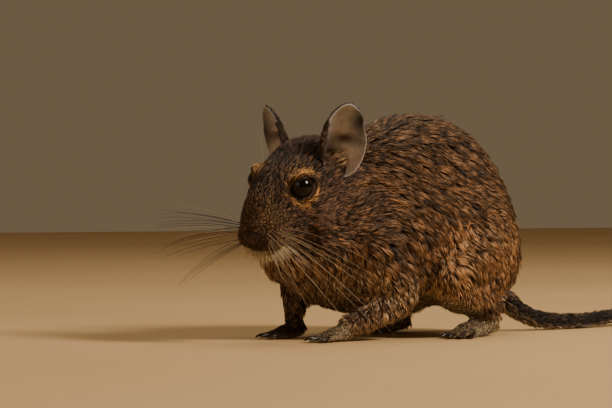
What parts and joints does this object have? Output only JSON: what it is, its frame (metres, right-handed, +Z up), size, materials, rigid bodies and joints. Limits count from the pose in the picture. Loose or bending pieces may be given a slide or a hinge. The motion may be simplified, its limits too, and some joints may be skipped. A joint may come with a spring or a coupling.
{
  "type": "degu",
  "caption": "Still, life-size degu on all fours with arched back, head turned to its left, cupped ears, long whiskers and a thin tail with a black brush.",
  "frame": {"origin": "middle of the bounding box at the level of the soles", "axes": "-X to the way that the body faces, -Y to the animal's left, +Z up; the tail runs back along +X"},
  "size_m": [0.289, 0.107, 0.0931],
  "materials": {
    "coat": "matte agouti fur",
    "pale_coat": "short pale fur over bare toes",
    "ear_skin": "thin bare skin with sparse hair",
    "eye": "wet gloss",
    "brush": "coarse black-brown hair"
  },
  "bodies": {
    "root": {"ear_left": "ear_skin", "ear_right": "ear_skin", "eye_left": "eye", "eye_right": "eye", "foreleg_left": "coat", "foreleg_right": "coat", "forepaw_left": "pale_coat", "forepaw_right": "pale_coat", "head": "coat", "hindfoot_left": "pale_coat", "hindfoot_right": "pale_coat", "hindleg_left": "coat", "hindleg_right": "coat", "muzzle": "coat", "neck": "coat", "tail_base": "coat", "tail_end": "brush", "tail_middle": "brush", "throat": "coat", "torso": "coat"}
  },
  "joints": []
}
